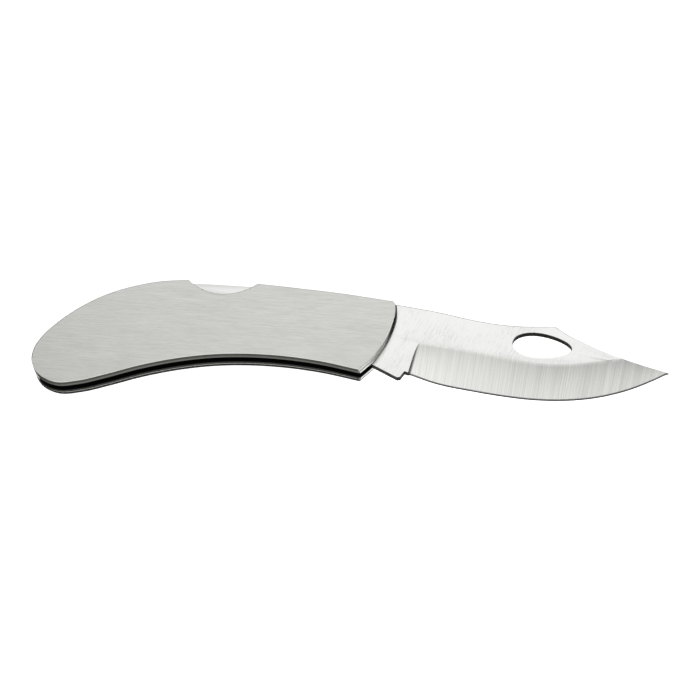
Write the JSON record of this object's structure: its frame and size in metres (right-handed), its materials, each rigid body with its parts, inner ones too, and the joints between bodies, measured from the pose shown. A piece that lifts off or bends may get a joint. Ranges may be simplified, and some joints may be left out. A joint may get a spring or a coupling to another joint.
{
  "type": "folding rigging knife",
  "caption": "Folding sailing knife with a curved satin steel handle, rocking lock bar in the back and a clip-point blade with an egg-shaped hole.",
  "frame": {"origin": "where the blade's pivot axis meets the underside of the rear scale, with the knife open and lying on that scale", "axes": "+X towards the open blade's tip, +Y towards the spine and the lock bar, +Z through the thickness from the rear scale to the front scale"},
  "size_m": [0.1786, 0.0368, 0.007],
  "materials": {
    "satin_scale": "satin stainless steel, brushed lengthwise",
    "liner_steel": "blanked stainless sheet, plain",
    "blade_steel": "polished flats over cross-ground bevels",
    "lock_steel": "fine satin",
    "spring_steel": "blued spring steel",
    "pin_steel": "turned and peened",
    "washer_bronze": "rolled bronze"
  },
  "bodies": {
    "handle": {"front_scale": "satin_scale", "rear_scale": "satin_scale", "front_liner": "liner_steel", "rear_liner": "liner_steel", "blade_pivot_pin": "pin_steel", "front_washer": "washer_bronze", "rear_washer": "washer_bronze", "lock_bar_pin": "pin_steel", "lock_spring": "spring_steel", "spring_pin": "pin_steel", "back_spacer": "lock_steel", "spacer_pins": "pin_steel", "front_scale_studs": "pin_steel", "rear_scale_studs": "pin_steel"},
    "blade": {"blade": "blade_steel"},
    "lock": {"lock_bar": "lock_steel"}
  },
  "joints": [
    {"name": "blade_swing", "type": "hinge", "parent": "handle", "child": "blade", "pos_m": [0, 0, 0.0035], "axis": [0, 0, -1], "range_deg": [0, 171]},
    {"name": "lock_bar_rock", "type": "hinge", "parent": "handle", "child": "lock", "pos_m": [-0.024, 0.0113, 0.0035], "axis": [0, 0, 1], "range_deg": [0, 5], "stiffness_Nm_per_rad": 0.2, "deforming": ["lock_spring"]}
  ]
}
